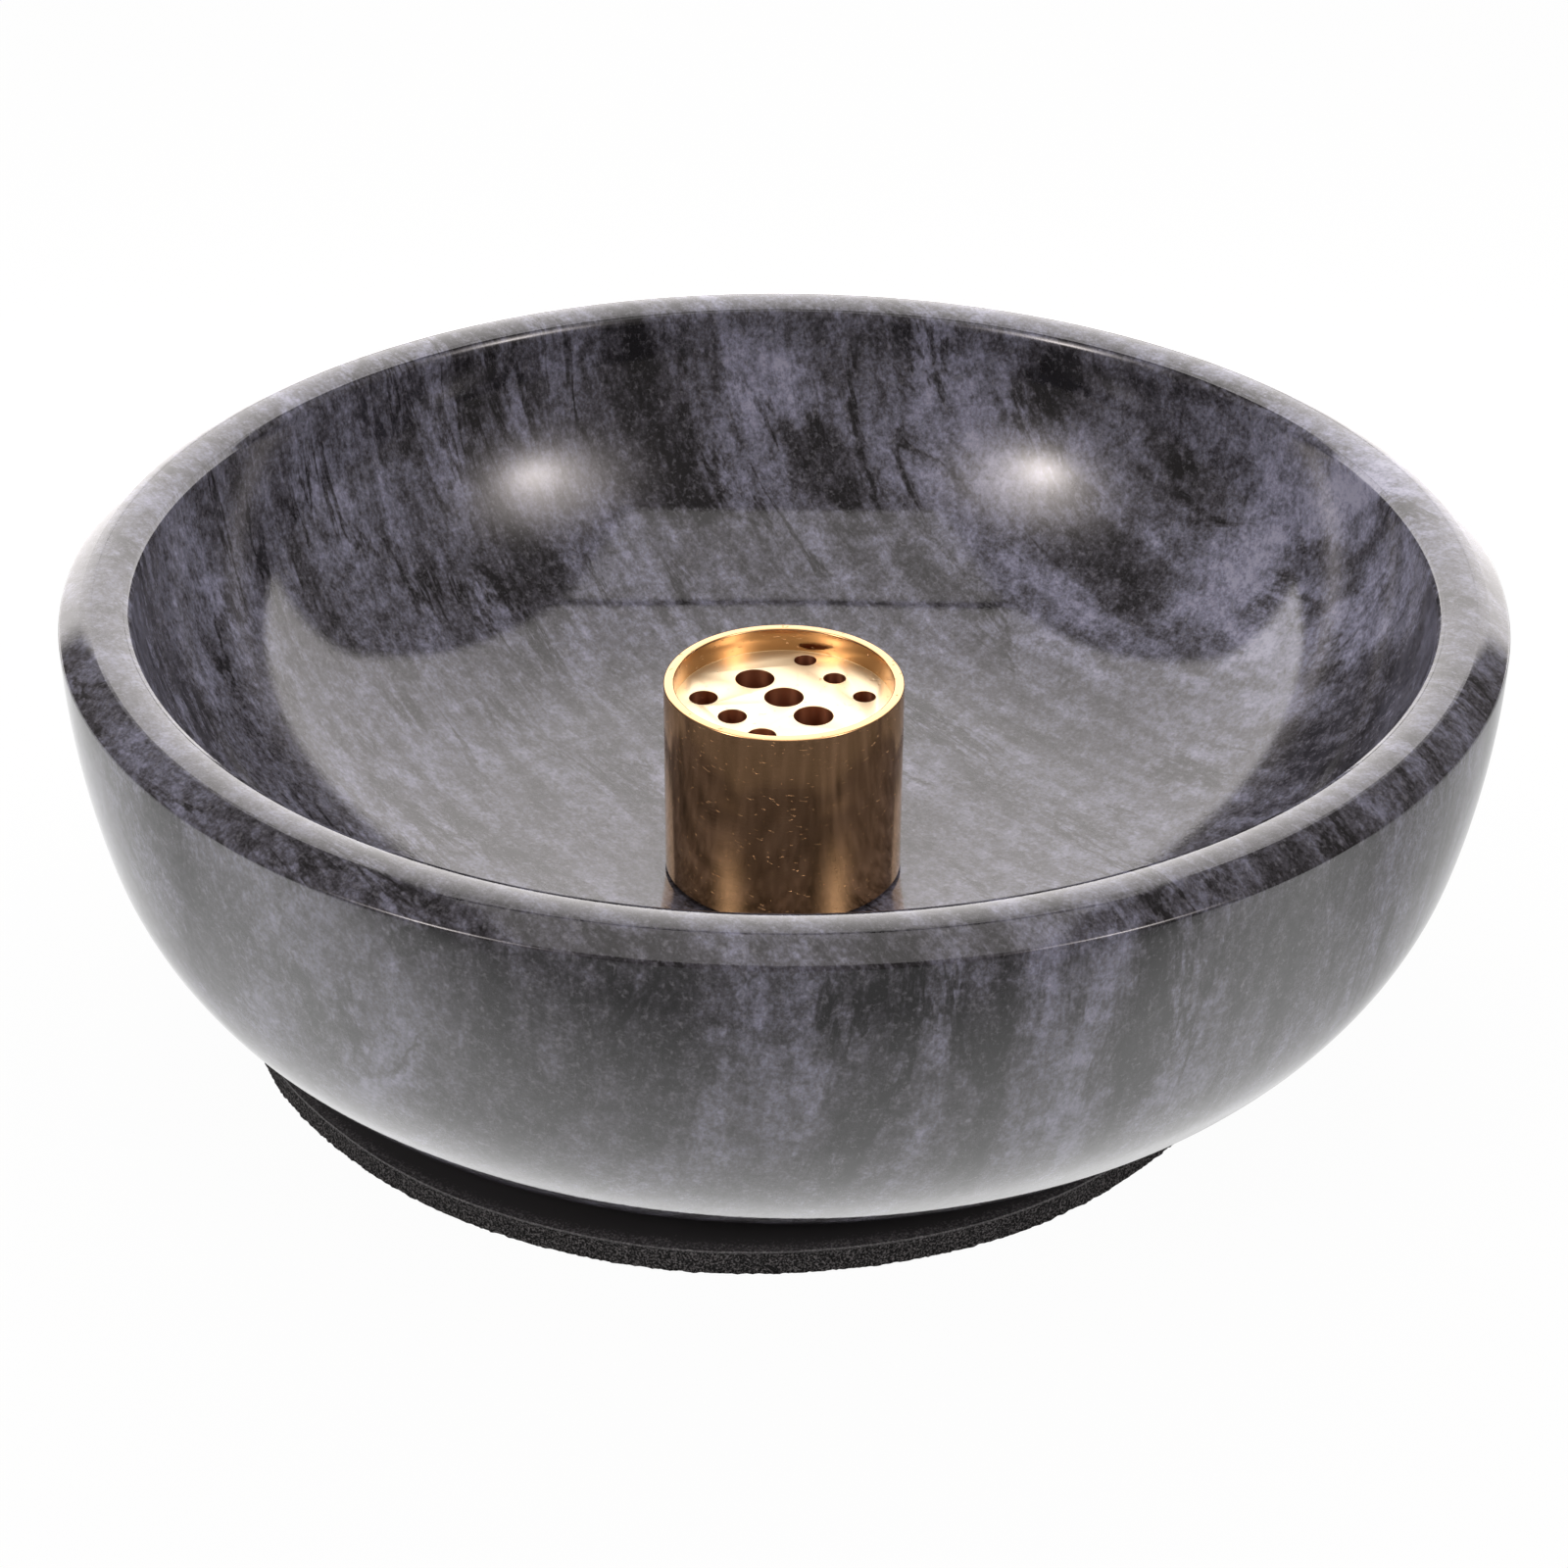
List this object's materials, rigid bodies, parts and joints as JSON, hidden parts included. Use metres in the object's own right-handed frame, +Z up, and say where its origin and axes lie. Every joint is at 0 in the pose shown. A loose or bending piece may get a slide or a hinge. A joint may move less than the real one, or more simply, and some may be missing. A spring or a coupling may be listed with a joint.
{
  "type": "incense stick holder",
  "caption": "Round polished stone bowl on a foam pad, with a loose brass cylinder in its middle whose recessed top is drilled to stand incense sticks of different thickness.",
  "frame": {"origin": "on the table under the bowl's axis, at the underside of the foam pad", "axes": "+Z up along the bowl's axis, +X to the right and +Y to the back as pictured"},
  "size_m": [0.1166, 0.1166, 0.0378],
  "materials": {
    "marble": "polished",
    "brass": "satin",
    "foam": "matte",
    "film": "gloss"
  },
  "bodies": {
    "bowl": {"stone_bowl": "marble", "foam_pad": "foam", "pad_adhesive": "film"},
    "holder": {"stick_holder": "brass"}
  },
  "joints": [
    {"name": "holder_lift", "type": "slide", "parent": "bowl", "child": "holder", "axis": [0, 0, 1], "range_m": [0, 0.045]}
  ]
}
